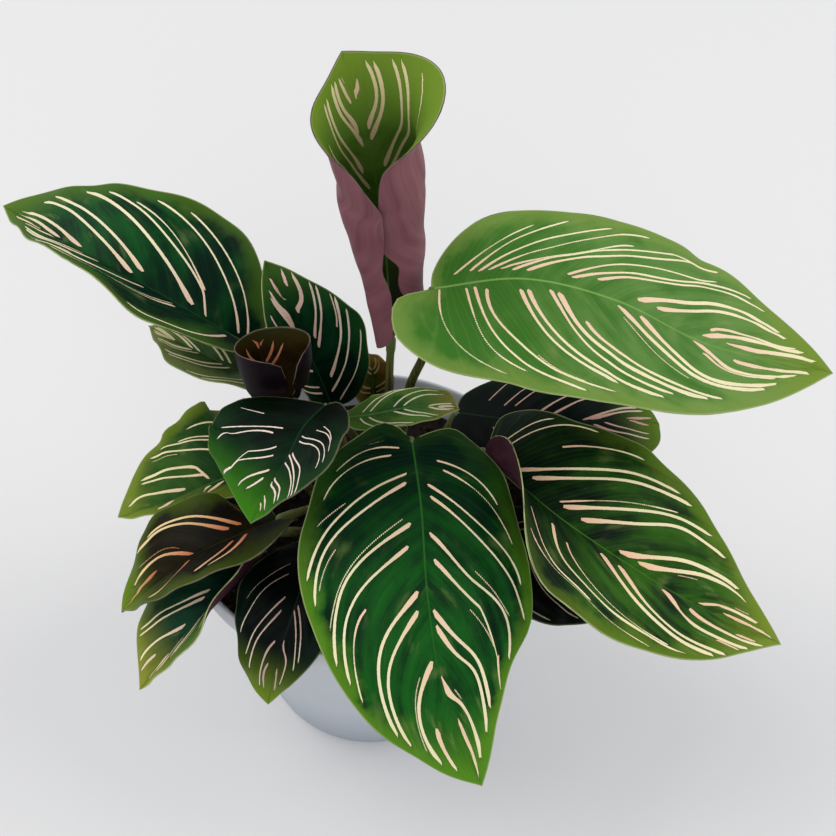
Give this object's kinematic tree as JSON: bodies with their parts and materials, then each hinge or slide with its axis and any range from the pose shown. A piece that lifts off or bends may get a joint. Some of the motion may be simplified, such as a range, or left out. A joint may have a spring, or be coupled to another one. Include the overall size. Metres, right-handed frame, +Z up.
{
  "type": "pinstripe calathea",
  "caption": "Potted foliage plant with broad dark green leaves ruled with cream and pink stripes, on thin petioles rising from potting mix in a round tapered nursery pot.",
  "frame": {"origin": "centre of the flat underside of the pot", "axes": "+Z up out of the pot, -Y towards the front of the plant"},
  "size_m": [0.2883, 0.1734, 0.2671],
  "materials": {
    "pot_plastic": "matte",
    "potting_mix": "matte",
    "leaf_black_green": "satin",
    "leaf_brown": "satin",
    "leaf_deep": "satin",
    "leaf_grey_green": "satin",
    "leaf_light": "satin",
    "leaf_olive": "satin",
    "leaf_teal": "satin",
    "leaf_yellow_green": "satin"
  },
  "bodies": {
    "root": {"pot": "pot_plastic", "potting_mix": "potting_mix", "leaf_left_large": "leaf_deep", "leaf_tall_rolled": "leaf_olive", "leaf_right_large": "leaf_light", "leaf_center_upright": "leaf_deep", "leaf_left_under": "leaf_grey_green", "leaf_furled_cup": "leaf_brown", "leaf_dark_round": "leaf_black_green", "leaf_left_pale": "leaf_yellow_green", "leaf_left_bronze": "leaf_brown", "leaf_left_low": "leaf_teal", "leaf_front_dark": "leaf_black_green", "leaf_front_large": "leaf_deep", "leaf_right_front": "leaf_deep", "leaf_right_back": "leaf_black_green", "leaf_right_shade": "leaf_black_green", "leaf_center_small": "leaf_grey_green", "leaf_back_small": "leaf_olive"}
  },
  "joints": []
}
